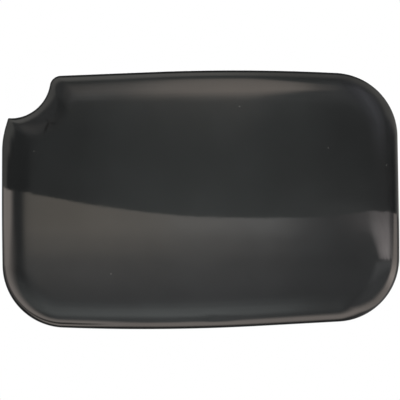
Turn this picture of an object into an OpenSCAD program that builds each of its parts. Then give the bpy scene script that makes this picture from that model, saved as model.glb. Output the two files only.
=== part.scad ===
// Car fuel flap: two hemmed steel sheets on a pressed arm that turns about an upright pin.
// X runs along the flap, Y points into the car and Z points up, in millimetres.
// The origin is the middle of the two bolt holes, on the back face of the hinge bracket.

/* [Flap] */

// length of the flap
flap_w = 190; // [184:1:200]
// height of the flap
flap_h = 123.7; // [120:0.1:130]
// thickness of both sheets
sheet_t = 0.8; // [0.7:0.1:1]
// radius of the crown seen from above
crown_plan_r = 1600; // [1200:50:4000]
// radius of the crown seen from the side
crown_side_r = 900; // [800:50:3000]
// width of the rolled border
roll_w = 16; // [14:0.5:18]
// depth of the roll at the outline
roll_d = 4.6; // [4:0.1:4.8]
// width of the hem
hem_w = 10.5; // [9:0.5:11]

/* [Outline] */

// radius of the top right corner
top_right_r = 30.8; // [24:0.1:32]
// radius of the lower right corner
low_right_r = 30.3; // [24:0.1:32]
// radius of the lower left corner
low_left_r = 30.1; // [24:0.1:32]
// radius of the soft bend in the left edge
left_bend_r = 43; // [30:1:44]
// width of the finger notch
notch_w = 23.9; // [22:0.1:26]
// height of the finger notch
notch_h = 22.8; // [21:0.1:25]
// radius inside the notch
notch_r = 18.7; // [16:0.1:18.7]
// radius where the notch meets the top edge
notch_top_r = 5.5; // [4:0.1:6]

/* [Inner panel] */

// depth of the pan's back face behind the middle of the outer face
pan_y = 9.5; // [9:0.1:10.5]
// height of the two beads
bead_h = 2; // [1.5:0.1:2.5]
// length of the two beads
bead_len = 84; // [70:1:90]
// diameter of the drain holes
drain_d = 7; // [5:0.5:9]

/* [Hinge] */

// distance from the flap's right edge to the pin
pin_inset = 24; // [23:0.5:26]
// depth of the pin behind the middle of the outer face
pin_y = 20; // [20:0.1:21]
// diameter of the pin
pin_d = 5; // [4.5:0.1:5.5]
// radial clearance of the bushes on the pin
run_gap = 0.03; // [0.02:0.01:0.08]
// thickness of the arm
arm_t = 2; // [1.8:0.1:2.2]
// distance over the arm's two ears
arm_over = 36; // [34:0.5:37]
// thickness of the bracket
bracket_t = 2.5; // [2:0.1:2.6]

/* [Mounting] */

// distance between the two bolt holes
bolt_pitch = 42; // [40:1:46]
// diameter of the bolt holes
bolt_d = 6.6; // [6.4:0.1:7]

/* [Hidden] */

$fn = 64;
half_w = flap_w / 2;
half_h = flap_h / 2;
pin_x = half_w - pin_inset;
arm_face = pan_y - pin_y;
arm_back = arm_face + arm_t;
// the bracket's base, counted from the pin
base_front = 12;
base_back = base_front + bracket_t;
bolt_x = -20;
row_x = pin_x + bolt_x;
row_y = pin_y + base_back;
cam_r = 6.5;
cam_round = 3;
touch = 0.05;
seat_gap = 0.02;
// the stack of ears along the pin
axial_gap = 0.1;
flange_t = 1;
arm_out = arm_over / 2;
arm_in = arm_out - arm_t;
ear_in = arm_out + flange_t + axial_gap;
ear_out = ear_in + bracket_t;
pin_r = pin_d / 2;
bush_in = pin_r + run_gap;
bush_r = bush_in + 1;
flange_r = 5.5;
barrel_out = 0.5;
head_r = 4.5;
head_t = 2;
groove_r = pin_r - 0.5;
clip_r = 5;
clip_t = 0.8;
clip_mouth = 3.4;
pin_tail = 1.6;
// the arm
arm_left = -61;
ear_left = -44;
ear_low = 3.5;
heel_right = 15;
heel_half = 10;
tongue_half = 13;
bend_in = 1.5;
rivet_r = 2.5;
rivet_head_r = 4.5;
rivet_head_t = 2.2;
rivet_tail_r = 4;
rivet_tail_t = 1.2;
rivet_x = [-52, -33];
rivet_z = 9;
// the bracket
stop_gap = 0.1;
stop_x = -arm_back - stop_gap;
wing_left = -34;
wing_right = -12.5;
wing_half = 30;
ear_r = 8;
// the spring
leaf_t = 1;
leaf_tail_half = 11;
leaf_half = arm_out + 0.5;
leaf_step = -11;
leaf_left = wing_left + 1;
leaf_knee = wing_left + 10;
leaf_crest = -14;
leaf_tip = cam_r - 1.5;
leaf_lip = 3;
leaf_lip_rise = 1;
leaf_rivet_x = -28.5;
leaf_rivet_z = 6;
leaf_rivet_r = 1.5;
leaf_head_r = 3;
leaf_head_t = 1.2;
// the inner panel
bead_x = 4;
bead_z = 31;
bead_r = 5;
bumper_x = -60;
bumper_z = 17;
bumper_r = 7;
bumper_t = 6;
stem_r = 3;
lip_r = 4.2;
lip_t = 1.5;
pad_r = 6;
pad_z = 20;
pad_x = [-38, -4, 30];
drain_reach = 52;
drain_x = [bead_x - drain_reach, bead_x + drain_reach];
drain_z = 33;
panel_edge = 2.4;
step_start = 13;
step_w = 8;
step_lean = 0.3;
drill = 4;
// the hem
fold_r = 2 * sheet_t;
fold_d = roll_d + fold_r;
hem_rise = 1.1;
hem_mid = 5;
hem_mid_rise = 0.7;
hem_gap = 0.1;
flange_d = fold_d - hem_rise - sheet_t - hem_gap;
flange_mid_d = fold_d - hem_mid_rise - sheet_t - hem_gap;
flange_edge_d = flange_mid_d + 0.45;
centre_reach = 84;
// start of the roll and its control points between the two ends
roll_start = roll_w - 2;
roll_in = 2.2;
roll_low = 3.1;
// places and bows of the outline's long edges
tip_in = 3.1;
tip_r = 0.8;
top_x = 18.7;
top_bow = 975;
right_z = -17;
right_bow = 1150;
low_x = -19;
low_bow = 1030;
left_z = -7.6;
left_bow = 1800;
left_bend_drop = 9.8;
behind_notch_r = 22;
behind_notch_end_r = 14;

// outline corners: X, Z and radius, in order from the tip under the notch
outline = [
  [-half_w + tip_in, half_h - notch_h, tip_r],
  [-half_w + notch_w - 4, half_h - notch_h - 0.3, notch_r],
  [-half_w + notch_w, half_h - 2.7, notch_top_r],
  [top_x, half_h + 0.8, top_bow],
  [half_w - 1.3, half_h - 2.4, top_right_r],
  [half_w + 0.05, right_z, right_bow],
  [half_w + 0.05, -half_h + 5.1, low_right_r],
  [low_x, -half_h - 1, low_bow],
  [-half_w + 0.7, -half_h + 1.7, low_left_r],
  [-half_w + 0.1, left_z, left_bow],
  [-half_w + 0.2, half_h - notch_h - left_bend_drop, left_bend_r]
];
// arc steps at each of these corners
steps = [3, 10, 7, 5, 12, 3, 12, 5, 12, 3, 5];

function unit(v) = v / norm(v);
function flat(a) = [for (b = a) each b];
function at(v, i) = v[(i + len(v)) % len(v)];
function xy(p) = [p[0], p[1]];
function side(v, i) = norm(xy(at(v, i + 1)) - xy(at(v, i)));
function toward(v, i, s) = unit(xy(at(v, i + s)) - xy(at(v, i)));
function middle(v, i) = unit(toward(v, i, -1) + toward(v, i, 1));
// half the turn at a corner
function turn(v, i) = (180 - acos(toward(v, i, -1) * toward(v, i, 1))) / 2;
function reach(v, i) = at(v, i)[2] * tan(turn(v, i));
function share(v, i) = min(1, 0.995 * side(v, i) / (reach(v, i) + reach(v, i + 1)));
function arc_r(v, i) = at(v, i)[2] * min(share(v, i), share(v, i - 1));
function arc_c(v, i) = xy(at(v, i)) + middle(v, i) * arc_r(v, i) / cos(turn(v, i));
// corner i as an arc of n steps
function corner(v, i, n) =
  at(v, i)[2] == 0
  ? [xy(at(v, i))]
  : let (
      r = arc_r(v, i),
      c = arc_c(v, i),
      t = r * tan(turn(v, i)),
      s = xy(at(v, i)) + toward(v, i, -1) * t - c,
      e = xy(at(v, i)) + toward(v, i, 1) * t - c,
      a = atan2(s[1], s[0]),
      d = atan2(s[0] * e[1] - s[1] * e[0], s * e)
    )
    [for (k = [0:n]) c + r * [cos(a + d * k / n), sin(a + d * k / n)]];
function rounded(v, n = 6) = flat([for (i = [0:len(v) - 1]) corner(v, i, n)]);
function ring_line(v) = flat([for (i = [0:len(v) - 1]) corner(v, i, steps[i])]);

// inner edge of the rolled border, with one wide curve behind the notch
notch_c = arc_c(outline, 1);
far_r = arc_r(outline, 1) + roll_w;
left_x = -half_w + 0.1 + roll_w;
top_z = half_h - 1.9 - roll_w;
low_a = -acos((left_x - notch_c[0]) / far_r);
high_a = asin((top_z - notch_c[1]) / far_r);
mid_a = (low_a + high_a) / 2;
border_0 = notch_c + far_r * [cos(low_a), sin(low_a)];
border_1 = notch_c + far_r / cos((high_a - low_a) / 2) * [cos(mid_a), sin(mid_a)];
border_2 = notch_c + far_r * [cos(high_a), sin(high_a)];
function moved_in(i) =
  let (p = xy(outline[i]) + middle(outline, i) * roll_w / cos(turn(outline, i)))
  [p[0], p[1], outline[i][2] - roll_w];
border = [
  [border_0[0], border_0[1], behind_notch_end_r],
  [border_1[0], border_1[1], behind_notch_r],
  [border_2[0], border_2[1], behind_notch_end_r],
  moved_in(3),
  moved_in(4),
  moved_in(5),
  moved_in(6),
  moved_in(7),
  moved_in(8),
  [left_x, left_z, left_bow],
  [left_x - 0.05, (border_0[1] + left_z) / 2, left_bend_r]
];
edge_line = ring_line(outline);
border_line = ring_line(border);

// ring of points t millimetres inside the outline
function inset(t) =
  t <= roll_w
  ? [for (k = [0:len(edge_line) - 1]) edge_line[k] + (border_line[k] - edge_line[k]) * t / roll_w]
  : border_line * (1 - (t - roll_w) / centre_reach);
function crown(p) = p[0] * p[0] / (2 * crown_plan_r) + p[1] * p[1] / (2 * crown_side_r);
// the same ring in space, d millimetres behind the crowned face
function ring(t, d) = [for (p = inset(t)) [p[0], crown(p) + d, p[1]]];

// the rolled border as a curve: distance in from the outline and depth
function roll(s) = [
  roll_start * pow(1 - s, 3) + 3 * roll_in * pow(1 - s, 2) * s,
  3 * roll_low * (1 - s) * s * s + roll_d * pow(s, 3)
];
function roll_slope(s) = (roll(s + 0.01) - roll(s - 0.01)) / 0.02;
function roll_back(s) =
  let (g = unit(roll_slope(s)))
  roll(s) + sheet_t * [g[1], -g[0]];
function fold(r, a) = [fold_r - r * cos(a), roll_d + r * sin(a)];

// closed solid through rings, from the front over the edge to the back
module loft(rings, front_y, back_y) {
  n = len(rings[0]);
  last = (len(rings) - 1) * n;
  points = concat(flat(rings), [[0, front_y, 0], [0, back_y, 0]]);
  front = len(points) - 2;
  back = len(points) - 1;
  walls = [
    for (j = [0:n:last - n])
      for (k = [0:n - 1])
        let (a = j + k, b = j + (k + 1) % n)
          each [[a, a + n, b + n], [a, b + n, b]]
  ];
  front_cap = [for (k = [0:n - 1]) [front, k, (k + 1) % n]];
  back_cap = [for (k = [0:n - 1]) [back, last + (k + 1) % n, last + k]];
  polyhedron(points, concat(walls, front_cap, back_cap));
}

module on_flap() {
  translate([-row_x, -row_y, 0]) children();
}

module on_pin() {
  translate([-bolt_x, -base_back, 0]) children();
}

// flat profile in XY drawn up along Z
module along_z(v, low, high) {
  translate([0, 0, low]) linear_extrude(high - low) polygon(rounded(v));
}

// flat profile in YZ drawn along X
module along_x(v, low, high) {
  translate([low, 0, 0]) rotate([90, 0, 90]) linear_extrude(high - low) polygon(rounded(v));
}

// flat profile in XZ drawn along Y
module along_y(v, low, high) {
  translate([0, high, 0]) rotate([90, 0, 0]) linear_extrude(high - low) polygon(rounded(v));
}

// cylinder along Y from low to high
module rod_y(r, low, high) {
  translate([0, high, 0]) rotate([90, 0, 0]) cylinder(r = r, h = high - low);
}

module cone_y(r_low, r_high, low, high) {
  translate([0, high, 0]) rotate([90, 0, 0]) cylinder(r1 = r_high, r2 = r_low, h = high - low);
}

module rod_z(r, low, high) {
  translate([0, 0, low]) cylinder(r = r, h = high - low);
}

// outer sheet: crowned face, rolled border and the hem folded back
module outer_skin() {
  roll_steps = [0, 0.1, 0.2, 0.35, 0.5, 0.65, 0.82];
  last = len(roll_steps) - 1;
  rings = [
    for (t = [80, 55, 33, roll_w]) ring(t, 0),
    for (s = roll_steps) ring(roll(s)[0], roll(s)[1]),
    for (a = [0, 30, 60, 90]) ring(fold(fold_r, a)[0], fold(fold_r, a)[1]),
    ring(hem_mid, fold_d - hem_mid_rise),
    ring(hem_w, fold_d - hem_rise),
    ring(hem_w, fold_d - hem_rise - sheet_t),
    ring(hem_mid, fold_d - hem_mid_rise - sheet_t),
    for (a = [90, 45, 0]) ring(fold(fold_r - sheet_t, a)[0], fold(fold_r - sheet_t, a)[1]),
    for (k = [last:-1:0]) ring(roll_back(roll_steps[k])[0], roll_back(roll_steps[k])[1]),
    for (t = [roll_w, 33, 55, 80]) ring(t, sheet_t)
  ];
  color("#2a2a29") on_flap() loft(rings, 0, sheet_t);
}

// ring on the step between the panel's flange and its pan
function step_ring(q, t) =
  let (w = q * q * (3 - 2 * q))
  [for (p = inset(step_start + step_w * q)) [p[0], (1 - w) * (crown(p) + flange_d) + w * pan_y - t, p[1]]];

module panel_sheet() {
  rings = [
    for (q = [1, 0.75, 0.5, 0.25, 0]) step_ring(q, sheet_t * (1 + step_lean * sin(180 * q))),
    ring(hem_w, flange_d - sheet_t),
    ring(hem_mid, flange_mid_d - sheet_t),
    ring(panel_edge, flange_edge_d - sheet_t),
    ring(panel_edge, flange_edge_d),
    ring(hem_mid, flange_mid_d),
    ring(hem_w, flange_d),
    for (q = [0, 0.25, 0.5, 0.75, 1]) step_ring(q, 0)
  ];
  loft(rings, pan_y - sheet_t, pan_y);
}

// long round-ended bead, as a bar of radius r
module bead_bar(r) {
  rotate([0, 90, 0]) cylinder(r = r, h = bead_len - 2 * bead_r, center = true);
  for (x = [-1, 1]) translate([x * (bead_len / 2 - bead_r), 0, 0]) sphere(r);
}

module bead_place() {
  for (z = [-1, 1]) translate([bead_x, pan_y + bead_h - bead_r, z * bead_z]) children();
}

module drill_pan(r) {
  rod_y(r, pan_y - drill, pan_y + drill);
}

// inner sheet: flange in the hem, step, flat pan with two beads and its holes
module inner_panel() {
  color("#30302f") on_flap() difference() {
    union() {
      panel_sheet();
      intersection() {
        bead_place() bead_bar(bead_r);
        translate([-half_w, pan_y - sheet_t / 2, -half_h]) cube([flap_w, bead_r, flap_h]);
      }
    }
    bead_place() bead_bar(bead_r - sheet_t);
    for (x = rivet_x, z = [-rivet_z, rivet_z]) translate([pin_x + x, 0, z]) drill_pan(rivet_r + seat_gap);
    for (z = [-bumper_z, bumper_z]) translate([bumper_x, 0, z]) drill_pan(stem_r + seat_gap);
    for (x = drain_x, z = [-drain_z, drain_z]) translate([x, 0, z]) drill_pan(drain_d / 2);
  }
}

// soft pads that fill the space between the two sheets
module anti_flutter_mastic() {
  color("#54524c") on_flap() for (x = pad_x, z = [-pad_z, pad_z])
    translate([x, 0, z])
      rod_y(pad_r, sheet_t + touch + crown([abs(x) + pad_r, pad_z + pad_r]), pan_y - sheet_t - touch);
}

// arm: web flat on the inner panel, two ears with cam edges, tongue and stop heel
module hinge_arm() {
  channel = [
    [cam_r + 2, arm_out, 0],
    [arm_face, arm_out, bend_in + arm_t],
    [arm_face, -arm_out, bend_in + arm_t],
    [cam_r + 2, -arm_out, 0],
    [cam_r + 2, -arm_in, 0],
    [arm_back, -arm_in, bend_in],
    [arm_back, arm_in, bend_in],
    [cam_r + 2, arm_in, 0]
  ];
  ear = [
    [ear_left, arm_face, 0],
    [ear_left, arm_face + ear_low, 1],
    [-cam_r, cam_r, cam_round],
    [cam_r, cam_r, cam_round],
    [cam_r, arm_face, 0]
  ];
  web = [
    [arm_left, -tongue_half, 4],
    [arm_left, tongue_half, 4],
    [ear_left + 4, tongue_half, 0],
    [ear_left + 4, heel_half, 0],
    [heel_right, heel_half, 3],
    [heel_right, -heel_half, 3],
    [ear_left + 4, -heel_half, 0],
    [ear_left + 4, -tongue_half, 0]
  ];
  color("#3a3b3b") on_pin() difference() {
    union() {
      intersection() {
        along_x(channel, ear_left - 1, cam_r + 1);
        along_z(ear, -arm_out - 1, arm_out + 1);
      }
      along_y(web, arm_face, arm_back);
    }
    rod_z(bush_r + seat_gap, -arm_out - 2, arm_out + 2);
    for (x = rivet_x, z = [-rivet_z, rivet_z])
      translate([x, 0, z]) rod_y(rivet_r + seat_gap, arm_face - 1, arm_back + 1);
  }
}

module arm_rivets() {
  color("#8c8f91") on_pin() for (x = rivet_x, z = [-rivet_z, rivet_z])
    translate([x, 0, z]) {
      rod_y(rivet_r, arm_face - sheet_t - rivet_tail_t / 2, arm_back + rivet_head_t / 2);
      cone_y(rivet_head_r, rivet_r, arm_back, arm_back + rivet_head_t);
      rod_y(rivet_tail_r, arm_face - sheet_t - rivet_tail_t, arm_face - sheet_t);
    }
}

// bracket: base with two bolt holes, two ears for the pin and the edge that stops the arm
module hinge_bracket() {
  channel = [
    [-ear_r - 1, ear_out, 0],
    [base_back, ear_out, bend_in + bracket_t],
    [base_back, -ear_out, bend_in + bracket_t],
    [-ear_r - 1, -ear_out, 0],
    [-ear_r - 1, -ear_in, 0],
    [base_front, -ear_in, bend_in],
    [base_front, ear_in, bend_in],
    [-ear_r - 1, ear_in, 0]
  ];
  ear = [
    [-ear_r - 2, base_back, 0],
    [-ear_r, -ear_r, ear_r - 0.1],
    [ear_r, -ear_r, ear_r - 0.1],
    [stop_x, base_back, 0]
  ];
  wing = [
    [wing_left, -wing_half, 5],
    [wing_left, wing_half, 5],
    [wing_right, wing_half, 4],
    [wing_right, ear_in - bend_in, 0],
    [-ear_r, ear_in - bend_in, 0],
    [-ear_r, -ear_in + bend_in, 0],
    [wing_right, -ear_in + bend_in, 0],
    [wing_right, -wing_half, 4]
  ];
  color("#3d3e3f") on_pin() difference() {
    union() {
      intersection() {
        along_x(channel, -ear_r - 3, stop_x);
        along_z(ear, -ear_out - 1, ear_out + 1);
      }
      along_y(wing, base_front, base_back);
    }
    rod_z(pin_r + seat_gap, -ear_out - 1, ear_out + 1);
    for (z = [-1, 1]) {
      translate([bolt_x, 0, z * bolt_pitch / 2]) rod_y(bolt_d / 2, base_front - 1, base_back + 1);
      translate([leaf_rivet_x, 0, z * leaf_rivet_z]) {
        rod_y(leaf_rivet_r + seat_gap, base_front - 1, base_back + 1);
        cone_y(leaf_rivet_r + seat_gap, leaf_head_r + seat_gap, base_back - 1.5, base_back + seat_gap);
      }
    }
  }
}

// flanged bush, seen with its flange upwards
module bush() {
  difference() {
    union() {
      rod_z(bush_r, arm_in - barrel_out, arm_out + flange_t / 2);
      rod_z(flange_r, arm_out, arm_out + flange_t);
    }
    rod_z(bush_in, arm_in - barrel_out - 1, arm_out + flange_t + 1);
  }
}

module bush_upper() {
  color("#d8d4c6") on_pin() bush();
}

module bush_lower() {
  color("#d8d4c6") on_pin() mirror([0, 0, 1]) bush();
}

module hinge_pin() {
  color("#9a9da0") on_pin() {
    rod_z(head_r, ear_out, ear_out + head_t);
    rod_z(pin_r, -ear_out, ear_out + head_t / 2);
    rod_z(groove_r, -ear_out - clip_t - axial_gap, -ear_out);
    rod_z(pin_r, -ear_out - clip_t - axial_gap - pin_tail, -ear_out - clip_t - axial_gap);
  }
}

module pin_clip() {
  color("#77797b") on_pin() difference() {
    rod_z(clip_r, -ear_out - clip_t - axial_gap / 2, -ear_out - axial_gap / 2);
    rod_z(groove_r + seat_gap, -ear_out - 2 * clip_t, -ear_out + 1);
    translate([-clip_mouth / 2, 0, -ear_out - 2 * clip_t]) cube([clip_mouth, clip_r + 1, 3 * clip_t]);
  }
}

// flat spring: tail on the bracket's base, wide head on the arm's cam edges
module leaf_spring() {
  leaf_y = cam_r + touch;
  tail_y = base_front - leaf_t;
  profile = [
    [leaf_left, tail_y, 0],
    [leaf_knee, tail_y, 6],
    [leaf_crest, leaf_y, 6],
    [leaf_tip, leaf_y, 4],
    [leaf_tip + leaf_lip, leaf_y + leaf_lip_rise, 0],
    [leaf_tip + leaf_lip - 0.3, leaf_y + leaf_t + leaf_lip_rise, 0],
    [leaf_tip - 0.2, leaf_y + leaf_t, 5],
    [leaf_crest - 0.2, leaf_y + leaf_t, 5],
    [leaf_knee - 0.2, base_front, 7],
    [leaf_left, base_front, 0]
  ];
  color("#5f6468") on_pin() difference() {
    union() {
      along_z(profile, -leaf_tail_half, leaf_tail_half);
      intersection() {
        along_z(profile, -leaf_half, leaf_half);
        translate([leaf_step, 0, -leaf_half]) cube([20, base_front, 2 * leaf_half]);
      }
    }
    for (z = [-leaf_rivet_z, leaf_rivet_z])
      translate([leaf_rivet_x, 0, z]) rod_y(leaf_rivet_r + seat_gap, tail_y - 1, base_front + 1);
  }
}

module spring_rivets() {
  color("#8c8f91") on_pin() for (z = [-leaf_rivet_z, leaf_rivet_z])
    translate([leaf_rivet_x, 0, z]) {
      rod_y(leaf_rivet_r, base_front - leaf_t - leaf_head_t / 2, base_back);
      rod_y(leaf_head_r, base_front - leaf_t - leaf_head_t, base_front - leaf_t);
      cone_y(leaf_rivet_r, leaf_head_r, base_back - 1.5, base_back);
    }
}

// rubber buffer: head behind the pan, stem through it and a lip in front
module bumper(z) {
  color("#1b1b1b") on_flap() translate([bumper_x, 0, z]) {
    rod_y(bumper_r, pan_y, pan_y + bumper_t * 0.6);
    cone_y(bumper_r, bumper_r - 2, pan_y + bumper_t * 0.6, pan_y + bumper_t);
    rod_y(stem_r, pan_y - sheet_t - lip_t / 2, pan_y + bumper_t / 2);
    cone_y(stem_r, lip_r, pan_y - sheet_t - lip_t, pan_y - sheet_t);
  }
}

module bumper_upper() {
  bumper(bumper_z);
}

module bumper_lower() {
  bumper(-bumper_z);
}

outer_skin();
inner_panel();
anti_flutter_mastic();
hinge_arm();
arm_rivets();
hinge_bracket();
bush_upper();
bush_lower();
hinge_pin();
pin_clip();
leaf_spring();
spring_rivets();
bumper_upper();
bumper_lower();
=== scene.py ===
import math

import bpy
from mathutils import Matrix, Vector


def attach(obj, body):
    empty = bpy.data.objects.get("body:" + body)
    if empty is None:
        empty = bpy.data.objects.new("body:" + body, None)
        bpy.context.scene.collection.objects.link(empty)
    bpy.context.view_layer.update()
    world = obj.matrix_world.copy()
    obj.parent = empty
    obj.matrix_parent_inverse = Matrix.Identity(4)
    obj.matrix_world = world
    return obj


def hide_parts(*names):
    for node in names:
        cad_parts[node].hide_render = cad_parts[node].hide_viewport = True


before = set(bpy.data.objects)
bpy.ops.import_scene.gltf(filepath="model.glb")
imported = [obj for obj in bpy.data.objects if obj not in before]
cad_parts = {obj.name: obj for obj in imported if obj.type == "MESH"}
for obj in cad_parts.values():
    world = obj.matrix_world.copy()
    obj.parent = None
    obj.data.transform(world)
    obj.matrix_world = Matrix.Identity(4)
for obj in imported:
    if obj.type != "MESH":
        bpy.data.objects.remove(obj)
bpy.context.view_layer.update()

# sizes are in millimetres up to the moment a mesh is made
MM = 0.001
# the middle of the flap's outer face, counted from the bolt holes
FLAP_X, FLAP_Y = -51.0, -34.5
# radii of the crown, seen from above and from the side
CROWN_PLAN, CROWN_SIDE = 1600.0, 900.0
# thickness of the sheet and width of the border that rolls back
SHEET = 0.8
BORDER = 16.0
# two neighbouring arcs of an outline fill at most this share of the edge between them
ARC_SHARE = 0.995


# outline


def unit(x, z):
    """The same direction at length one."""
    size = math.hypot(x, z)
    return x / size, z / size


def rounded_corner(corners, i, steps=4):
    """Corner i of a closed outline, as an arc that never runs past its neighbours' arcs.

    Gives the arc's points, its centre and radius, the corner's bisector and half of its turn.
    """

    def turn(k):
        x, z, _ = corners[k % len(corners)]
        ax, az, _ = corners[(k - 1) % len(corners)]
        bx, bz, _ = corners[(k + 1) % len(corners)]
        u, w = unit(ax - x, az - z), unit(bx - x, bz - z)
        dot = max(-1.0, min(1.0, u[0] * w[0] + u[1] * w[1]))
        return (math.pi - math.acos(dot)) / 2, u, w

    def reach(k):
        return corners[k % len(corners)][2] * math.tan(turn(k)[0])

    def share(k):
        x, z, _ = corners[k % len(corners)]
        bx, bz, _ = corners[(k + 1) % len(corners)]
        return min(1.0, ARC_SHARE * math.hypot(bx - x, bz - z) / (reach(k) + reach(k + 1)))

    x, z, radius = corners[i]
    half, u, w = turn(i)
    radius *= min(share(i), share(i - 1))
    middle = unit(u[0] + w[0], u[1] + w[1])
    cx, cz = x + middle[0] * radius / math.cos(half), z + middle[1] * radius / math.cos(half)
    cut = radius * math.tan(half)
    sx, sz = x + u[0] * cut - cx, z + u[1] * cut - cz
    ex, ez = x + w[0] * cut - cx, z + w[1] * cut - cz
    start = math.atan2(sz, sx)
    sweep = math.atan2(sx * ez - sz * ex, sx * ex + sz * ez)
    angles = [start + sweep * k / steps for k in range(steps + 1)]
    points = [(cx + radius * math.cos(angle), cz + radius * math.sin(angle)) for angle in angles]
    return points, (cx, cz), radius, middle, half


# half of the flap's length and height, and the notch cut into its upper left
HALF_W, HALF_H = 95.0, 61.85
NOTCH_W, NOTCH_H = 23.9, 22.8
# corners from the notch's lower tip on, over the top to the right: place and radius.
# the four very wide ones bow the long edges
OUTLINE = [
    (-HALF_W + 3.1, HALF_H - NOTCH_H, 0.8),
    (-HALF_W + NOTCH_W - 4, HALF_H - NOTCH_H - 0.3, 18.7),
    (-HALF_W + NOTCH_W, HALF_H - 2.7, 5.5),
    (18.7, HALF_H + 0.8, 975),
    (HALF_W - 1.3, HALF_H - 2.4, 30.8),
    (HALF_W + 0.05, -17, 1150),
    (HALF_W + 0.05, -HALF_H + 5.1, 30.3),
    (-19, -HALF_H - 1, 1030),
    (-HALF_W + 0.7, -HALF_H + 1.7, 30.1),
    (-HALF_W + 0.1, -7.6, 1800),
    (-HALF_W + 0.2, HALF_H - NOTCH_H - 9.8, 43),
]
# points on each corner's arc, and between it and the next one
STEPS = [10, 30, 18, 36, 36, 20, 36, 40, 36, 16, 14]
BETWEEN = [4, 2, 10, 14, 16, 10, 16, 12, 12, 10, 3]
# which corners are which, and the border's inner radii below, along and above the notch
NOTCH_CORNER, FAR_CORNERS, LEFT_BOW, LEFT_CORNER = 1, range(3, 9), 9, 10
BEHIND_NOTCH = (8.0, 40.0, 18.0)
# how far the border's straight edges lie from the flap's box, at the left and at the top
LEFT_BOWED, TOP_BOWED, LEFT_SHIFT = 0.1, 1.9, 0.05


def border_corners():
    """The outline moved in by the width of the rolled border, with one wide curve behind the notch."""
    _, (nx, nz), notch_r, _, _ = rounded_corner(OUTLINE, NOTCH_CORNER)
    far = notch_r + BORDER
    left, top = -HALF_W + LEFT_BOWED + BORDER, HALF_H - TOP_BOWED - BORDER
    low = -math.acos((left - nx) / far)
    high = math.asin((top - nz) / far)
    mid = (low + high) / 2
    stretch = far / math.cos((high - low) / 2)
    first = (nx + far * math.cos(low), nz + far * math.sin(low))
    corners = [
        (first[0], first[1], BEHIND_NOTCH[0]),
        (nx + stretch * math.cos(mid), nz + stretch * math.sin(mid), BEHIND_NOTCH[1]),
        (nx + far * math.cos(high), nz + far * math.sin(high), BEHIND_NOTCH[2]),
    ]
    for i in FAR_CORNERS:
        x, z, r = OUTLINE[i]
        _, _, _, middle, half = rounded_corner(OUTLINE, i)
        in_x, in_z = middle[0] * BORDER / math.cos(half), middle[1] * BORDER / math.cos(half)
        corners.append((x + in_x, z + in_z, r - BORDER))
    _, bow_z, bow_r = OUTLINE[LEFT_BOW]
    corners.append((left, bow_z, bow_r))
    corners.append((left - LEFT_SHIFT, (first[1] + bow_z) / 2, OUTLINE[LEFT_CORNER][2]))
    return corners


def outline_ring(corners):
    """Points once round an outline; every outline has the same number of them."""
    arcs = [rounded_corner(corners, i, steps)[0] for i, steps in enumerate(STEPS)]
    ring = []
    for arc, after, count in zip(arcs, arcs[1:] + arcs[:1], BETWEEN):
        (ax, az), (bx, bz) = arc[-1], after[0]
        shares = [k / (count + 1) for k in range(1, count + 1)]
        ring += arc + [(ax + (bx - ax) * f, az + (bz - az) * f) for f in shares]
    return ring


EDGE = outline_ring(OUTLINE)
INNER = outline_ring(border_corners())
# what inset() counts from the border's inner edge to the flap's middle
REACH = 84.0


def inset(t):
    """Ring of points t millimetres inside the outline; past the border it shrinks to the middle."""
    if t <= BORDER:
        f = t / BORDER
        return [(a[0] + (b[0] - a[0]) * f, a[1] + (b[1] - a[1]) * f) for a, b in zip(EDGE, INNER)]
    f = 1 - (t - BORDER) / REACH
    return [(x * f, z * f) for x, z in INNER]


def crown(x, z):
    """How far the crowned face lies behind its middle."""
    return x * x / (2 * CROWN_PLAN) + z * z / (2 * CROWN_SIDE)


# small knocks in the lower edge, in millimetres: place, reach along it and across it, depth
KNOCKS = [(6.2, -56.4, 2.6, 1.6, 0.10), (12.4, -56.9, 3.4, 1.5, 0.07), (-5.0, -55.6, 4.5, 2.2, -0.05)]


def knocked_in(x, z):
    """How far the knocks push the sheet in at a place."""
    return sum(d * math.exp(-(((x - a) / u) ** 2) - ((z - b) / w) ** 2) for a, b, u, w, d in KNOCKS)


def ring_3d(t, depth):
    """Ring t inside the outline and this deep behind the crowned face, in metres."""
    return [
        ((FLAP_X + x) * MM, (FLAP_Y + crown(x, z) + depth + knocked_in(x, z)) * MM, z * MM)
        for x, z in inset(t)
    ]


def smooth_between(before, start, end, after, s):
    """One coordinate at share s of the way from start to end, bent by the points beside them."""
    straight = (end - before) * s
    bend = (2 * before - 5 * start + 4 * end - after) * s * s
    twist = (3 * start - before - 3 * end + after) * s**3
    return 0.5 * (2 * start + straight + bend + twist)


def smooth_line(points, per_span):
    """Points on a smooth curve that runs through the given ones."""
    line = []
    for i in range(len(points) - 1):
        around = [points[max(i - 1, 0)], points[i], points[i + 1], points[min(i + 2, len(points) - 1)]]
        for k in range(per_span):
            line.append(tuple(smooth_between(*(p[c] for p in around), k / per_span) for c in (0, 1)))
    line.append(points[-1])
    return line


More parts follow.
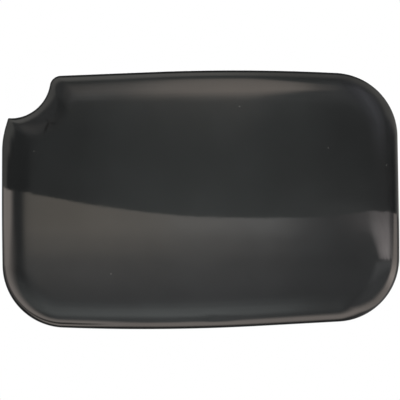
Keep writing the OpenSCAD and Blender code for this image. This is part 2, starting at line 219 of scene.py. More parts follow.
def loft(name, rings, front_y, back_y):
    """Closed mesh through rings, from the front over the edge to the back."""
    n = len(rings[0])
    points = [p for ring in rings for p in ring]
    points += [(FLAP_X * MM, front_y * MM, 0.0), (FLAP_X * MM, back_y * MM, 0.0)]
    front, back = len(points) - 2, len(points) - 1
    faces = []
    for j in range(len(rings) - 1):
        for k in range(n):
            a, b = j * n + k, j * n + (k + 1) % n
            faces.append((b, b + n, a + n, a))
    last = (len(rings) - 1) * n
    for k in range(n):
        faces.append(((k + 1) % n, k, front))
        faces.append((last + k, last + (k + 1) % n, back))
    mesh = bpy.data.meshes.new(name)
    mesh.from_pydata(points, [], faces)
    mesh.validate()
    for face in mesh.polygons:
        face.use_smooth = True
    piece = bpy.data.objects.new(name, mesh)
    bpy.context.scene.collection.objects.link(piece)
    return piece


# outer sheet

# the roll's section is one curve: start, three pulls and end, as distance in from the outline and depth
ROLL_PULLS = [(16.0, 0.0), (10.5, 0.0), (4.0, 0.0), (0.0, 2.4), (0.0, 4.6)]
ROLL_SPANS = 40
# the hem as a section, from the outline round to its free edge and back: distance in and depth
HEM_BACK = [(0, 4.6), (0.14, 5.25), (0.5, 5.8), (1.05, 6.12), (1.7, 6.2), (5, 5.5), (10.5, 5.1)]
HEM_FRONT = [(10.5, 4.3), (5, 4.7), (1.7, 5.35), (1.05, 5.1), (0.8, 4.6), (0.92, 4.0), (1.4, 3.2)]
BACK_ROLL = [(2.3, 2.5), (3.6, 1.95), (5.2, 1.52), (7.4, 1.13), (10, 0.9), (13, 0.8)]
# points for each run between two of these places
HEM_BACK_SPANS, HEM_FRONT_SPANS = 4, 3
# rings of the crowned face and of its back, as distance in from the outline
FACE_RINGS, BACK_RINGS = range(98, 16, -3), (24, 44, 70)


def roll_section():
    """The roll's curve as points, from the crowned face to the outline."""
    line = []
    last = len(ROLL_PULLS) - 1
    for step in range(ROLL_SPANS + 1):
        s = step / ROLL_SPANS
        parts = [math.comb(last, k) * s**k * (1 - s) ** (last - k) for k in range(last + 1)]
        line.append(tuple(sum(w * p[c] for w, p in zip(parts, ROLL_PULLS)) for c in (0, 1)))
    return line


def outer_sheet():
    """The pressed sheet: crowned face, roll, hem round to its free edge, and the sheet's back."""
    rings = [ring_3d(t, 0) for t in FACE_RINGS]
    rings += [ring_3d(t, d) for t, d in roll_section()[:-1]]
    rings += [ring_3d(t, d) for t, d in smooth_line(HEM_BACK, HEM_BACK_SPANS)]
    rings += [ring_3d(t, d) for t, d in smooth_line(HEM_FRONT, HEM_FRONT_SPANS)]
    rings += [ring_3d(t, d) for t, d in BACK_ROLL]
    rings += [ring_3d(t, SHEET) for t in BACK_RINGS]
    return loft("outer_sheet", rings, FLAP_Y, FLAP_Y + SHEET)


skin = outer_sheet()
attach(skin, "flap")
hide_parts("outer_skin")


# materials


def linear(code):
    """Hex colour as written on a screen, turned to the renderer's linear values."""
    parts = [int(code[i : i + 2], 16) / 255 for i in (1, 3, 5)]
    return tuple(c / 12.92 if c <= 0.04045 else ((c + 0.055) / 1.055) ** 2.4 for c in parts) + (1.0,)


def node(tree, kind, links=(), **settings):
    """Adds one node; inputs are set by name or number, and links come from other nodes' outputs."""
    made = tree.nodes.new(kind)
    for key, value in settings.items():
        if key.startswith("in_"):
            key = key[3:]
            made.inputs[int(key) if key.isdigit() else key.replace("_", " ")].default_value = value
        else:
            setattr(made, key, value)
    for target, source, output in links:
        tree.links.new(source.outputs[output], made.inputs[target])
    return made


def material(name):
    """An empty material and its node tree."""
    made = bpy.data.materials.new(name)
    made.use_nodes = True
    made.node_tree.nodes.clear()
    return made, made.node_tree


def per_metre(millimetres):
    """Noise scale at which one lump of the pattern is this long."""
    return 1000.0 / millimetres


# marks on the coat, in millimetres and degrees: middle of each from the middle of the flap, half length,
# half width, turn and strength
DUST_NIBS = [
    (18.6, 44.3, 0.42, 0.36, 0, 1.0), (60.8, 24.6, 0.4, 0.34, 0, 0.8),
    (-42.5, -35.3, 0.42, 0.36, 0, 1.0), (-79.1, 23.1, 0.5, 0.4, 0, 0.35),
    (88.6, 16.5, 0.6, 0.4, 60, 0.4),
]
SCUFFS = [
    (-73.1, 34.8, 4.3, 0.8, 67, 0.85), (-72.8, 37.6, 1.4, 0.5, 124, 0.6),
    (-70.4, 36.3, 2.3, 0.8, -5, 0.5), (22.9, -36.2, 1.3, 0.5, 110, 0.8),
    (24.3, -37.9, 1.2, 0.55, 0, 0.8), (-56.3, 23.6, 0.8, 0.5, 30, 0.5),
]
# a mark is full up to the first share of its half size, and gone at the second
MARK_FULL, MARK_GONE = 0.3, 1.2
# noise stays between about these two values, which are spread over a range of gloss
NOISE_LOW, NOISE_HIGH = 0.3, 0.7


def marks_on(tree, place, marks):
    """Soft oval marks, joined into one mask."""
    mask = None
    for x, z, half_length, half_width, turned, strength in marks:
        moved = node(
            tree, "ShaderNodeVectorMath", [(0, place, "Object")], operation="SUBTRACT",
            in_1=((FLAP_X + x) * MM, 0, z * MM),
        )
        level = node(
            tree, "ShaderNodeVectorRotate", [("Vector", moved, "Vector")], rotation_type="Y_AXIS",
            in_Angle=math.radians(turned),
        )
        shares = node(
            tree, "ShaderNodeVectorMath", [(0, level, "Vector")], operation="MULTIPLY",
            in_1=(per_metre(half_length), 0, per_metre(half_width)),
        )
        reach = node(tree, "ShaderNodeVectorMath", [(0, shares, "Vector")], operation="LENGTH")
        mark = node(
            tree, "ShaderNodeMapRange", [("Value", reach, "Value")], interpolation_type="SMOOTHSTEP",
            in_From_Min=MARK_FULL, in_From_Max=MARK_GONE, in_To_Min=strength, in_To_Max=0.0,
        )
        if mask is None:
            mask = mark
        else:
            mask = node(tree, "ShaderNodeMath", [(0, mask, 0), (1, mark, "Result")], operation="MAXIMUM")
    return mask


# lengths of the face's patterns in millimetres: waves left by the press, orange peel, haze left by wiping
PRESS_WAVE, ORANGE_PEEL, WIPED_HAZE = 22, 2.4, 20
# how strongly the waves and the peel tilt the surface, and how rough the clear and the hazy spots are
WAVE_TILT, PEEL_TILT = 0.006, 0.0014
CLEAR_ROUGHNESS, HAZY_ROUGHNESS = 0.012, 0.035
COAT_DARK, COAT_LIGHT, SCUFF_BLACK, DUST_GREY = "#121313", "#212324", "#020202", "#565755"


def glossy_electrocoat():
    """Black electrocoat stoved on pressed steel: mirror glossy, with faint orange peel and polish haze."""
    made, tree = material("glossy_black_electrocoat")
    place = node(tree, "ShaderNodeTexCoord")
    # long waves left in the sheet by the press, and the coat's own orange peel
    press = node(
        tree, "ShaderNodeTexNoise", [("Vector", place, "Object")],
        in_Scale=per_metre(PRESS_WAVE), in_Detail=1.0,
    )
    waves = node(tree, "ShaderNodeBump", [("Height", press, "Fac")], in_Strength=WAVE_TILT, in_Distance=MM)
    peel = node(
        tree, "ShaderNodeTexNoise", [("Vector", place, "Object")],
        in_Scale=per_metre(ORANGE_PEEL), in_Detail=2.0,
    )
    bump = node(
        tree, "ShaderNodeBump", [("Height", peel, "Fac"), ("Normal", waves, "Normal")],
        in_Strength=PEEL_TILT, in_Distance=MM,
    )
    # the gloss and the tone change a little in clouds of haze
    haze = node(
        tree, "ShaderNodeTexNoise", [("Vector", place, "Object")],
        in_Scale=per_metre(WIPED_HAZE), in_Detail=5.0, in_Roughness=0.62,
    )
    gloss = node(
        tree, "ShaderNodeMapRange", [("Value", haze, "Fac")],
        in_From_Min=NOISE_LOW, in_From_Max=NOISE_HIGH, in_To_Min=CLEAR_ROUGHNESS, in_To_Max=HAZY_ROUGHNESS,
    )
    tone = node(
        tree, "ShaderNodeMix", [("Factor", haze, "Fac")], data_type="RGBA",
        in_6=linear(COAT_DARK), in_7=linear(COAT_LIGHT),
    )
    scuffed = node(
        tree, "ShaderNodeMix", [(0, marks_on(tree, place, SCUFFS), 0), (6, tone, 2)], data_type="RGBA",
        in_7=linear(SCUFF_BLACK),
    )
    dusty = node(
        tree, "ShaderNodeMix", [(0, marks_on(tree, place, DUST_NIBS), 0), (6, scuffed, 2)], data_type="RGBA",
        in_7=linear(DUST_GREY),
    )
    coat = node(
        tree, "ShaderNodeBsdfPrincipled",
        [("Normal", bump, "Normal"), ("Base Color", dusty, 2), ("Roughness", gloss, "Result")], in_IOR=1.52,
    )
    node(tree, "ShaderNodeOutputMaterial", [("Surface", coat, "BSDF")])
    return made


def grained(name, dark, light, rough, spread, lump, grain, depth, stretch=(1, 1, 1), **settings):
    """Two-tone surface: clouds of tone and gloss about lump mm across, and fine relief of grain mm.

    The roughness lies within spread of rough, depth is the relief's strength, stretch below 1 draws the
    pattern out along that axis, and further settings go to the coat's own sockets.
    """
    made, tree = material(name)
    place = node(tree, "ShaderNodeTexCoord")
    along = node(tree, "ShaderNodeMapping", [("Vector", place, "Object")], in_Scale=stretch)
    clouds = node(
        tree, "ShaderNodeTexNoise", [("Vector", along, "Vector")], in_Scale=per_metre(lump), in_Detail=4.0,
    )
    tone = node(
        tree, "ShaderNodeMix", [("Factor", clouds, "Fac")], data_type="RGBA",
        in_6=linear(dark), in_7=linear(light),
    )
    gloss = node(
        tree, "ShaderNodeMapRange", [("Value", clouds, "Fac")],
        in_From_Min=NOISE_LOW, in_From_Max=NOISE_HIGH, in_To_Min=rough - spread, in_To_Max=rough + spread,
    )
    relief = node(
        tree, "ShaderNodeTexNoise", [("Vector", along, "Vector")], in_Scale=per_metre(grain), in_Detail=3.0,
    )
    bump = node(tree, "ShaderNodeBump", [("Height", relief, "Fac")], in_Strength=depth, in_Distance=MM)
    coat = node(
        tree, "ShaderNodeBsdfPrincipled",
        [("Normal", bump, "Normal"), ("Base Color", tone, 2), ("Roughness", gloss, "Result")], **settings,
    )
    node(tree, "ShaderNodeOutputMaterial", [("Surface", coat, "BSDF")])
    return made


# the pattern's scale along drawn and rolled metal, as a share of its scale across
LINE_SCALE = 0.12
# light goes about 1.2 mm into unpigmented nylon
TRANSLUCENT = {"in_Subsurface_Weight": 0.25, "in_Subsurface_Scale": 1.2 * MM}
# one finish for each CAD node: name, dark and light tone, roughness and its spread, lump, grain, depth
FINISHES = {
    # the same stoved coat, thinner inside the door: satin, with a finer orange peel
    "inner_panel": grained(
        "satin_black_electrocoat_on_sheet", "#1c1d1c", "#292a29", 0.27, 0.05, 14, 1.4, 0.012, in_IOR=1.5,
    ),
    # thick pressed steel: the coat follows the rolled surface, so the relief is coarser
    "hinge_arm": grained(
        "satin_black_electrocoat_on_arm", "#222322", "#303130", 0.32, 0.06, 9, 0.9, 0.03, in_IOR=1.5,
    ),
    "hinge_bracket": grained(
        "satin_black_electrocoat_on_bracket", "#242524", "#333433", 0.34, 0.06, 9, 0.8, 0.035, in_IOR=1.5,
    ),
    # dabs of butyl mastic pressed between the sheets: dull, lumpy, warm grey
    "anti_flutter_mastic": grained("extruded_butyl_mastic", "#4b4842", "#5f5c54", 0.78, 0.06, 3, 1.6, 0.35),
    # cold headed steel, zinc plated and clear passivated: pale bluish metal with dull clouds
    "arm_rivets": grained(
        "zinc_plated_headed_rivet", "#9fa2a1", "#bfc0bb", 0.33, 0.09, 2.5, 0.5, 0.05, in_Metallic=1.0,
    ),
    "spring_rivets": grained(
        "zinc_plated_small_rivet", "#9a9d9c", "#babbb6", 0.35, 0.08, 2, 0.4, 0.05, in_Metallic=1.0,
    ),
    # drawn bar: fine draw lines run along the pin
    "hinge_pin": grained(
        "zinc_plated_drawn_pin", "#a3a6a6", "#c2c3bf", 0.24, 0.06, 2, 0.35, 0.06,
        stretch=(1, 1, LINE_SCALE), in_Metallic=1.0,
    ),
    "pin_clip": grained(
        "zinc_plated_stamped_clip", "#84888a", "#a4a7a6", 0.3, 0.07, 1.5, 0.4, 0.05, in_Metallic=1.0,
    ),
    # hardened and tempered strip: blue grey oxide, with rolling lines along the leaf
    "leaf_spring": grained(
        "tempered_spring_strip", "#41464e", "#6a6763", 0.3, 0.07, 6, 0.6, 0.05,
        stretch=(LINE_SCALE, 1, 1), in_Metallic=1.0,
    ),
    # injection moulded polyamide without pigment: cream, slightly translucent
    "bush_upper": grained(
        "moulded_natural_nylon_upper", "#d2cbb6", "#e0dac8", 0.42, 0.05, 4, 0.5, 0.02, **TRANSLUCENT,
    ),
    "bush_lower": grained(
        "moulded_natural_nylon_lower", "#d0c9b3", "#ded8c6", 0.43, 0.05, 4, 0.5, 0.02, **TRANSLUCENT,
    ),
    # moulded soft rubber: nearly black, matt, with a grey bloom in patches
    "bumper_upper": grained("moulded_black_rubber_upper", "#121212", "#2a2a29", 0.6, 0.08, 5, 0.5, 0.08),
    "bumper_lower": grained("moulded_black_rubber_lower", "#131313", "#282827", 0.62, 0.08, 5, 0.5, 0.08),
}
for name, finish in FINISHES.items():
    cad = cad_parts[name]
    cad.data.materials.clear()
    cad.data.materials.append(finish)
front_coat = glossy_electrocoat()
skin.data.materials.append(front_coat)
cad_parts["outer_skin"].data.materials.clear()
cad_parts["outer_skin"].data.materials.append(front_coat)

# studio


def between(at, stops):
    """Value at a place between (place, value) stops, eased from stop to stop."""
    if at <= stops[0][0]:
        return stops[0][1]
    for (p, u), (q, w) in zip(stops, stops[1:]):
        if at <= q:
            s = (at - p) / (q - p)
            return u + (w - u) * s * s * (3 - 2 * s)
    return stops[-1][1]


def glide(at, stops):
    """The same with straight runs between the stops."""
    for (p, u), (q, w) in zip(stops, stops[1:]):
        if at <= q:
            return u + (w - u) * max(0.0, (at - p) / (q - p))
    return stops[-1][1]


# height of the table's far edge at each side angle, in degrees, and points for each run between two places
EDGE_SPANS = 6
TABLE_EDGE = smooth_line([
    (-90, 0.9), (-60, 0.87), (-30, 0.78), (-20, 0.72), (-14, 0.68), (-11.8, 0.6), (-10.5, 0.4),
    (-9.2, 0.09), (-7.9, -0.26), (-6.6, -0.56), (-5, -0.9), (-3.3, -1.18), (0, -1.57), (3, -1.67),
    (6, -1.64), (8.6, -1.54), (10, -1.18), (11.4, -1.02), (15, -0.92), (25, -0.84), (45, -0.45), (90, 0),
], EDGE_SPANS)
# background white and the tints of the light
WHITE = "#ffffff"
NEUTRAL, COOL, GREEN, WARM, AMBER, ROSE = "#ffffff", "#f2f6fd", "#f3fbf8", "#fff3e2", "#ffeddf", "#fff4f3"
VIOLET, IVORY, CREAM = "#f3f2ff", "#fffcf5", "#fff2e9"
# soft patches of light: tint, lean, thin, stops of brightness over the side angle, and stops of its share
# over the height. lean slides a patch out to the right for each degree it lies below LEAN_FROM, and
# LEAN_FADES is how much of that is left further right. thin draws the part of a patch that lies right of
# SLIM_FROM to a point at height SLIM_RISE
LEAN_FROM, SLIM_FROM, SLIM_RISE = -2.7, 2.5, 27.0
LEAN_FADES = [(24, 1), (42, 0)]
WALL_LIGHTS = [
    # greenish haze over the table's far edge, strongest in the middle
    (GREEN, 0, 0,
     [(-15, 0), (-12.8, 0.08), (-9, 0.2), (-3, 0.39), (0, 0.43), (6, 0.32), (9, 0.17), (12.8, 0.08),
      (18, 0.03), (40, 0)],
     [(-2, 1.35), (0, 1.25), (2, 1.1), (4, 1.0), (60, 1)]),
    # grey light right of the middle, close over the edge
    (NEUTRAL, 0, 0,
     [(4, 0), (6.6, 0.08), (8.7, 0.25), (11, 0.22), (15, 0.1), (20, 0)],
     [(-0.9, 1), (0.6, 0.4), (3, 0.15), (6, 0)]),
    # faint light low on the wall at the right
    (NEUTRAL, 0, 0,
     [(11, 0), (15, 0.12), (20, 0.2), (30, 0.2), (45, 0.12), (60, 0)],
     [(-2, 1), (3, 0.7), (7, 0.3), (9, 0)]),
    # cool light high on the wall at the right
    (VIOLET, 0, 0,
     [(7, 0), (10, 0.08), (12, 0.19), (17, 0.48), (23, 0.7), (31, 0.5), (40, 0.2), (60, 0.3)],
     [(3, 0), (8, 0.55), (13, 0.85), (20, 1), (30, 1), (40, 0.55), (55, 0.5)]),
    # grey light on the wall at the left
    (NEUTRAL, 0, 0,
     [(-55, 0.18), (-30, 0.21), (-19, 0.19), (-14, 0.06), (-12, 0)],
     [(10.5, 0), (13.5, 0.4), (17, 1), (40, 1), (55, 0)]),
    # the same next to the lens, where it reaches lower
    (NEUTRAL, 0, 0,
     [(-19, 0), (-14, 0.13), (-12, 0.12), (-9, 0)],
     [(8, 0), (11, 0.45), (15, 1), (40, 1), (55, 0)]),
    # soft foot under the lens
    (NEUTRAL, 0, 0,
     [(-4, 0), (1, 0.14), (5, 0.2), (7.5, 0.1), (10, 0)],
     [(6.5, 0), (8.2, 0.5), (10, 1), (14, 0.6), (19, 0)]),
    # warm tail of the lens at the left
    (CREAM, 0, 0,
     [(-21, 0), (-17, 0.18), (-14, 0.27), (-11, 0.45), (-8.5, 0.62), (-7, 0.8), (-6, 0.75),
      (-4.5, 0.74), (-2.5, 0.6), (0, 0)],
     [(6, 0), (10, 0.12), (14, 0.33), (18, 0.68), (22.5, 1), (31, 0.95), (38, 0.6), (44, 0.22),
      (50, 0.05), (54, 0)]),
    # grey light under the tail
    (NEUTRAL, 0, 0,
     [(-13.5, 0), (-10, 0.5), (-7.2, 0.5), (-5.4, 0.15), (-4, 0)],
     [(6, 0), (8.5, 0.03), (10, 0.07), (11, 0.15), (13, 0.5), (17, 0.5), (22, 0.2), (30, 0)]),
    # warm lens of light, drawn to a point at the right
    (AMBER, 0, 0.045,
     [(-6.5, 0), (-5.2, 0.24), (-4.2, 0.65), (-2.5, 1.18), (0, 1.88), (2, 2.03), (4.5, 1.98), (6, 1.8),
      (7.2, 1.35), (8.2, 0.5), (9.5, 0.18), (12, 0.06), (18, 0)],
     [(4, 0), (7, 0.04), (9, 0.1), (11, 0.33), (14, 0.66), (17.5, 0.97), (21, 1), (27, 0.94),
      (34, 0.87), (41, 0.7), (48, 0.12), (52, 0)]),
    # glow round the right end of the lens
    (NEUTRAL, 0, 0,
     [(3, 0), (7, 0.2), (9, 0.27), (12, 0.2), (15, 0)],
     [(7, 0), (12, 0.6), (16, 1), (34, 0.9), (42, 0.4), (50, 0)]),
]
TABLE_LIGHTS = [
    # warm light on the table at the left, brightest at the far edge
    (WARM, 0, 0,
     [(-24, 0), (-21, 0.1), (-18, 0.5), (-15.4, 0.95), (-12.5, 1.2), (-9.2, 1.4), (-6.5, 1.48),
      (-4, 1.25), (0, 0.7), (4, 0.3), (7.5, 0)],
     [(-14, 0), (-11, 0.06), (-9, 0.1), (-6, 0.29), (-4, 0.71), (-2.5, 1), (0, 1)]),
    # cool light in front of it
    (COOL, 0, 0,
     [(-24, 0), (-18, 0.1), (-12.5, 0.2), (-6.5, 0.22), (-1, 0.1), (3, 0)],
     [(-13, 0), (-9.5, 0.4), (-6, 1), (-4, 0.6), (-2, 0)]),
    # light on the middle of the table, brightest at the far edge
    (NEUTRAL, 0, 0,
     [(-6.5, 0), (-4, 0.15), (0, 0.66), (4, 0.8), (7.5, 0.45), (9.5, 0.24), (15, 0.3), (24, 0)],
     [(-14, 0), (-11, 0.1), (-9, 0.14), (-6, 0.4), (-4, 0.78), (-2.5, 1), (0, 1)]),
    # brighter strip along the edge in the middle
    (NEUTRAL, 0, 0,
     [(-9, 0), (-5, 0.16), (0, 0.36), (5, 0.42), (7, 0.15), (8.5, 0)],
     [(-3.8, 0), (-2.8, 0.6), (-2, 1), (0, 1)]),
    # cool light over the whole near part
    (COOL, 0, 0,
     [(-20, 0), (-13, 0.2), (0, 0.28), (8, 0.22), (13, 0.2)],
     [(-60, 1), (-9, 1), (-4, 0.3), (-1, 0)]),
    # pale patch at the right, which runs outward as it comes nearer
    (ROSE, 3.3, 0,
     [(9.6, 0), (10.6, 0.1), (11.2, 0.26), (11.8, 0.56), (13.6, 1.15), (17, 1.8), (24, 2.35), (37, 2.4),
      (47, 1.0), (56, 0.5), (62, 0.6)],
     [(-8, 0), (-6.5, 0.03), (-5.6, 0.26), (-5.1, 1.1), (-4.5, 1.35), (-3.6, 1.1), (-2.8, 1),
      (-2.2, 0.93), (-1.5, 0.68), (0, 0.64)]),
    # soft inner side of the pale patch
    (ROSE, 0, 0,
     [(8.4, 0), (9.2, 0.14), (10.3, 0.29), (11, 0.42), (12.5, 0.36), (14.5, 0.1), (17, 0)],
     [(-4.4, 0), (-3.2, 0.32), (-2.5, 0.58), (-1.9, 1), (0, 1)]),
    # faint light in front of the patch
    (NEUTRAL, 0, 0,
     [(13, 0), (20, 0.5), (60, 0.5)],
     [(-14, 0.3), (-7, 1), (-5, 0)]),
    # greenish light on the near part, low and left of the middle
    (GREEN, 0, 0,
     [(-60, 0.3), (-40, 0.4), (-12, 0.85), (0, 1.05), (5, 0.8), (9, 0.2), (14, 0.0), (30, 0.0)],
     [(-56, 0.3), (-40, 0.3), (-36, 0.5), (-32, 0.85), (-28, 1), (-22, 0.85), (-14, 0.42), (-11, 0.12),
      (-9, 0)]),
]
# brightness of the wall and the table where no patch lies
WALL_DARK, TABLE_DARK = 0.08, 0.2
# the bright room round the studio: clock angle (0 right, 90 up, 180 left), angles from the middle at which
# the room begins, is full, fades and is gone, and its brightness
WALL_ROOM = [
    (0, 60, 110, 114, 128, 1.2), (5, 60, 110, 114, 128, 1.2), (25, 38, 66, 100, 120, 0.85),
    (45, 46, 72, 96, 116, 0.95), (70, 46, 74, 84, 98, 0.65), (83, 50, 66, 80, 94, 0.75),
    (90, 54, 66, 80, 92, 1.3), (98, 48, 64, 80, 94, 1.25), (110, 46, 64, 80, 96, 1.2),
    (135, 48, 66, 82, 102, 1.0), (150, 42, 64, 84, 104, 0.9), (162, 38, 58, 84, 108, 0.75),
    (171, 38, 54, 84, 108, 0.7), (178, 53, 72, 84, 108, 0.65),
]
TABLE_ROOM = [
    (-177, 31, 50, 80, 104, 2.95), (-172, 25, 64, 78, 98, 2.6), (-135, 40, 57, 72, 88, 2.8),
    (-115, 44, 58, 78, 96, 2.7), (-99, 42, 55, 80, 96, 2.9), (-94.6, 48, 59, 68, 93, 2.45),
    (-89, 48, 58, 69, 93, 2.8), (-82.5, 44, 58, 68, 95, 2.65), (-72, 38, 56, 60, 84, 2.8),
    (-62, 30, 52, 56, 79, 2.8), (-45, 40, 62, 84, 106, 2.2), (-32, 43, 60, 80, 102, 2.5),
    (-20, 46, 57, 76, 98, 4.3), (-7, 47, 57, 74, 97, 2.8), (-3.5, 51, 63, 74, 98, 2.6),
    (0, 54, 66, 76, 98, 2.3),
]
# what lies behind the flap, as the steep edge mirrors it: dim, and paler low on the right
BEHIND = [
    (-180, 0.07), (-80, 0.07), (-50, 0.5), (-12, 0.5), (10, 0.2), (50, 0.12), (90, 0.07), (180, 0.07),
]
# a dark seam in the room below left: where it lies and how dark it is over the clock angle, and its width
SEAM_MIDDLE = [(-176, 84), (-135, 74), (-99, 66)]
SEAM_DEPTH = [(-178, 0), (-173, 0.65), (-135, 0.7), (-108, 0.85), (-99, 0.95), (-96, 0)]
SEAM_WIDTH = [(3, 1), (9, 0)]


def room_seam(clock, out):
    """Share of light left at a place beside or in the seam."""
    away = abs(out - glide(clock, SEAM_MIDDLE))
    return 1 - between(clock, SEAM_DEPTH) * between(away, SEAM_WIDTH)


def studio_light(x, y, z, lights, dark, room):
    """Colour of the studio towards one direction: patches, then the room round them, then what is behind."""
    side, rise = math.degrees(math.asin(x)), math.degrees(math.asin(z))
    out = math.degrees(math.acos(max(-1.0, min(1.0, -y))))
    clock = math.degrees(math.atan2(z, x))
    clock = abs(clock) if lights is WALL_LIGHTS else -abs(clock)
    begins, full, fades, gone, level = (
        glide(clock, [(row[0], row[k]) for row in room]) for k in range(1, 6)
    )
    level *= room_seam(clock, out)
    far = between(out, [(begins, 0), (full, 1)])
    behind = between(out, [(fades, 0), (gone, 1)])
    glow = [dark, dark, dark]
    for tint, lean, thin, across, up in lights:
        slim = 1 + thin * max(0, side - SLIM_FROM) ** 2
        slid = side + lean * min(0, rise - LEAN_FROM) * between(side, LEAN_FADES)
        strength = between(slid, across) * between(SLIM_RISE + (rise - SLIM_RISE) * slim, up)
        glow = [g + strength * c for g, c in zip(glow, linear(tint))]
    tint = IVORY if lights is WALL_LIGHTS else CREAM
    glow = [g + (level * c - g) * far for g, c in zip(glow, linear(tint))]
    return [g + (between(clock, BEHIND) - g) * behind for g in glow] + [1.0]


# the table's far edge is soft over this many degrees to each side
EDGE_SOFT = 0.11
# degrees from the bowl's middle to its rim, rows and columns of its faces, and its radius in metres
BOWL_OPEN, BOWL_RINGS, BOWL_SECTORS = 130.0, 104, 180
BOWL_RADIUS = 2.6


def studio_shell():
    """Bowl round the flap that the coat mirrors: dim wall above, pale table below, open far behind."""
    made, tree = material("studio_shell")
    height = node(tree, "ShaderNodeAttribute", attribute_name="over_edge")
    wall = node(tree, "ShaderNodeAttribute", attribute_name="wall_glow")
    table = node(tree, "ShaderNodeAttribute", attribute_name="table_glow")
    over = node(
        tree, "ShaderNodeMapRange", [("Value", height, "Fac")], interpolation_type="SMOOTHSTEP",
        in_From_Min=-EDGE_SOFT, in_From_Max=EDGE_SOFT,
    )
    both = node(
        tree, "ShaderNodeMix", [(0, over, "Result"), (6, table, "Color"), (7, wall, "Color")],
        data_type="RGBA",
    )
    glow = node(tree, "ShaderNodeEmission", [("Color", both, 2)])
    node(tree, "ShaderNodeOutputMaterial", [("Surface", glow, "Emission")])

    points, heights, walls, tables = [], [], [], []
    for i in range(BOWL_RINGS + 1):
        out = math.radians(BOWL_OPEN) * i / BOWL_RINGS
        for k in range(BOWL_SECTORS):
            around = 2 * math.pi * k / BOWL_SECTORS
            x, y, z = math.sin(out) * math.cos(around), -math.cos(out), math.sin(out) * math.sin(around)
            points.append((x * BOWL_RADIUS, y * BOWL_RADIUS, z * BOWL_RADIUS))
            heights.append(math.degrees(math.asin(z)) - glide(math.degrees(math.asin(x)), TABLE_EDGE))
            walls += studio_light(x, y, z, WALL_LIGHTS, WALL_DARK, WALL_ROOM)
            tables += studio_light(x, y, z, TABLE_LIGHTS, TABLE_DARK, TABLE_ROOM)
    faces = []
    for i in range(BOWL_RINGS):
        for k in range(BOWL_SECTORS):
            a, b = i * BOWL_SECTORS + k, i * BOWL_SECTORS + (k + 1) % BOWL_SECTORS
            # the first ring is a single place, so its faces have three corners
            near = (a, b) if i else (a,)
            faces.append(near + (b + BOWL_SECTORS, a + BOWL_SECTORS))
    mesh = bpy.data.meshes.new("studio_shell")
    mesh.from_pydata(points, [], faces)
    mesh.attributes.new("over_edge", "FLOAT", "POINT").data.foreach_set("value", heights)
    mesh.attributes.new("wall_glow", "FLOAT_COLOR", "POINT").data.foreach_set("color", walls)
    mesh.attributes.new("table_glow", "FLOAT_COLOR", "POINT").data.foreach_set("color", tables)
    mesh.materials.append(made)
    shell = bpy.data.objects.new("studio_shell", mesh)
    shell.location = (FLAP_X * MM, FLAP_Y * MM, 0)
    bpy.context.scene.collection.objects.link(shell)
    shell.visible_camera = False
    shell.visible_shadow = False


studio_shell()

# lumps of the paper in millimetres, how strongly they show, and the paper's colour and roughness
PAPER_LUMP, PAPER_RELIEF, PAPER_COLOUR, PAPER_ROUGHNESS = 2.5, 0.05, "#f4f4f2", 0.8
# the round sheet's radius, where it begins to fade and is gone, and its height, in metres
FLOOR_SIDES = 96
FLOOR_RADIUS, FADE_BEGINS, FADE_ENDS, FLOOR_HEIGHT = 0.62, 0.3, 0.6, -0.26


def pale_floor():
    """Plain pale floor under the flap, below what the front view shows."""
    made, tree = material("pale_paper_floor")
    place = node(tree, "ShaderNodeTexCoord")
    fibre = node(
        tree, "ShaderNodeTexNoise", [("Vector", place, "Object")],
        in_Scale=per_metre(PAPER_LUMP), in_Detail=2.0,
    )
    bump = node(
        tree, "ShaderNodeBump", [("Height", fibre, "Fac")], in_Strength=PAPER_RELIEF, in_Distance=MM,
    )
    paper = node(
        tree, "ShaderNodeBsdfPrincipled", [("Normal", bump, "Normal")],
        in_Base_Color=linear(PAPER_COLOUR), in_Roughness=PAPER_ROUGHNESS,
    )
    # the sheet runs out into the white background, only as the camera sees it
    reach = node(tree, "ShaderNodeVectorMath", [(0, place, "Object")], operation="LENGTH")
    faded = node(
        tree, "ShaderNodeMapRange", [("Value", reach, "Value")], interpolation_type="SMOOTHSTEP",
        in_From_Min=FADE_BEGINS, in_From_Max=FADE_ENDS,
    )
    ray = node(tree, "ShaderNodeLightPath")
    seen = node(
        tree, "ShaderNodeMath", [(0, faded, "Result"), (1, ray, "Is Camera Ray")], operation="MULTIPLY",
    )
    white = node(tree, "ShaderNodeEmission", in_Color=linear(WHITE))
    both = node(
        tree, "ShaderNodeMixShader", [(0, seen, "Value"), (1, paper, "BSDF"), (2, white, "Emission")],
    )
    node(tree, "ShaderNodeOutputMaterial", [("Surface", both, "Shader")])
    mesh = bpy.data.meshes.new("pale_floor")
    turns = [2 * math.pi * k / FLOOR_SIDES for k in range(FLOOR_SIDES)]
    ring = [(FLOOR_RADIUS * math.cos(turn), FLOOR_RADIUS * math.sin(turn), 0) for turn in turns]
    mesh.from_pydata(ring, [], [tuple(range(FLOOR_SIDES))])
    mesh.materials.append(made)
    floor = bpy.data.objects.new("pale_floor", mesh)
    floor.location = (FLAP_X * MM, 0, FLOOR_HEIGHT)
    bpy.context.scene.collection.objects.link(floor)
    floor.visible_glossy = False


pale_floor()


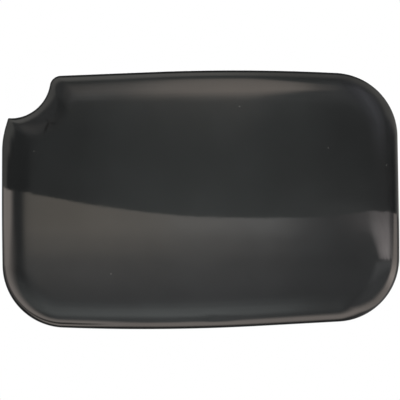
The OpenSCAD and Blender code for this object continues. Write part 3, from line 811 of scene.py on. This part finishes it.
def soft_light(name, place, size, power, mirrored=False):
    """Square soft lamp that looks at the flap; only a mirrored one shows in glossy surfaces."""
    lamp = bpy.data.lights.new(name, "AREA")
    lamp.size = size
    lamp.energy = power
    made = bpy.data.objects.new(name, lamp)
    made.location = place
    made.rotation_euler = (Vector((FLAP_X * MM, 0, 0)) - Vector(place)).to_track_quat("-Z", "Y").to_euler()
    bpy.context.scene.collection.objects.link(made)
    made.visible_glossy = mirrored


# places and sizes in metres, power in watts
soft_light("key_light", (-0.9, -1.0, 1.1), 0.9, 11)
soft_light("rear_light", (0.7, 1.1, 0.9), 0.9, 11)
soft_light("rear_softbox", (FLAP_X * MM, 1.5, 0.42), 0.8, 4.5, mirrored=True)

# the world is dimmer where it only lights the part, and plain white where it is seen or mirrored
SKY_LIGHT, SKY_SEEN = 0.6, 1.0
world = bpy.data.worlds.new("white_studio")
bpy.context.scene.world = world
world.use_nodes = True
tree = world.node_tree
tree.nodes.clear()
ray = node(tree, "ShaderNodeLightPath")
seen = node(
    tree, "ShaderNodeMath", [(0, ray, "Is Camera Ray"), (1, ray, "Is Glossy Ray")], operation="MAXIMUM",
)
seen = node(
    tree, "ShaderNodeMath", [(0, seen, "Value"), (1, ray, "Is Transmission Ray")], operation="MAXIMUM",
)
soft = node(tree, "ShaderNodeBackground", in_Color=linear(WHITE), in_Strength=SKY_LIGHT)
white = node(tree, "ShaderNodeBackground", in_Color=linear(WHITE), in_Strength=SKY_SEEN)
both = node(
    tree, "ShaderNodeMixShader", [(0, seen, "Value"), (1, soft, "Background"), (2, white, "Background")],
)
node(tree, "ShaderNodeOutputWorld", [("Surface", both, "Shader")])

# camera

# sensor and shifts in millimetres; the distance and the width that the picture shows, in metres
SENSOR, SHIFT_LEFT, SHIFT_DOWN = 36.0, 0.2, 0.15
DISTANCE, PICTURE_WIDTH = 1.3, 0.1900
camera_data = bpy.data.cameras.new("camera")
camera_data.sensor_width = SENSOR
camera_data.lens = SENSOR * DISTANCE / PICTURE_WIDTH
camera = bpy.data.objects.new("camera", camera_data)
camera.location = ((FLAP_X - SHIFT_LEFT) * MM, FLAP_Y * MM - DISTANCE, -SHIFT_DOWN * MM)
camera.rotation_euler = (math.pi / 2, 0, 0)
bpy.context.scene.collection.objects.link(camera)
bpy.context.scene.camera = camera
bpy.context.scene.view_settings.view_transform = "Standard"
